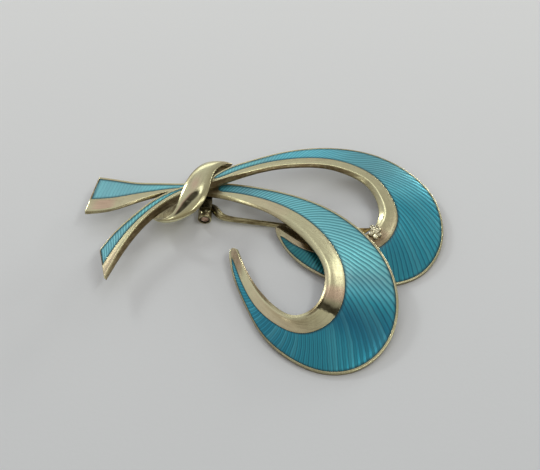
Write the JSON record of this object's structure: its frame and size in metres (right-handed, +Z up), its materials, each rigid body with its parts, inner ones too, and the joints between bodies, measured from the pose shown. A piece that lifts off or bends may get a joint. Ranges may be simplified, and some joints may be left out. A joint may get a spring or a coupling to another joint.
{
  "type": "leaf ribbon brooch",
  "caption": "Brooch of two enamelled leaf-like ribbon blades tied by a knot band, with a hinged pin and a catch behind.",
  "frame": {"origin": "centre of the bounding box on the surface that the brooch lies on, face up", "axes": "+X along the longest side, from the cut tails to the loops; +Z up, out of the face"},
  "size_m": [0.0603, 0.0436, 0.0063],
  "materials": {
    "gilt_metal": "polished",
    "enamel": "glossy glass enamel over engine-turned lines",
    "copper_rivet": "satin",
    "pin_wire": "tarnished"
  },
  "bodies": {
    "brooch": {"upper_ribbon": "gilt_metal", "upper_enamel": "enamel", "lower_ribbon": "gilt_metal", "lower_enamel": "enamel", "knot_band": "gilt_metal", "hinge": "gilt_metal", "hinge_rivet": "copper_rivet", "catch": "gilt_metal"},
    "pin": {"pin_stem": "pin_wire"}
  },
  "joints": [
    {"name": "pin_hinge", "type": "hinge", "parent": "brooch", "child": "pin", "pos_m": [-0.0102, 0.0101, 0.00115], "axis": [0, 1, 0], "range_deg": [0, 100]}
  ]
}
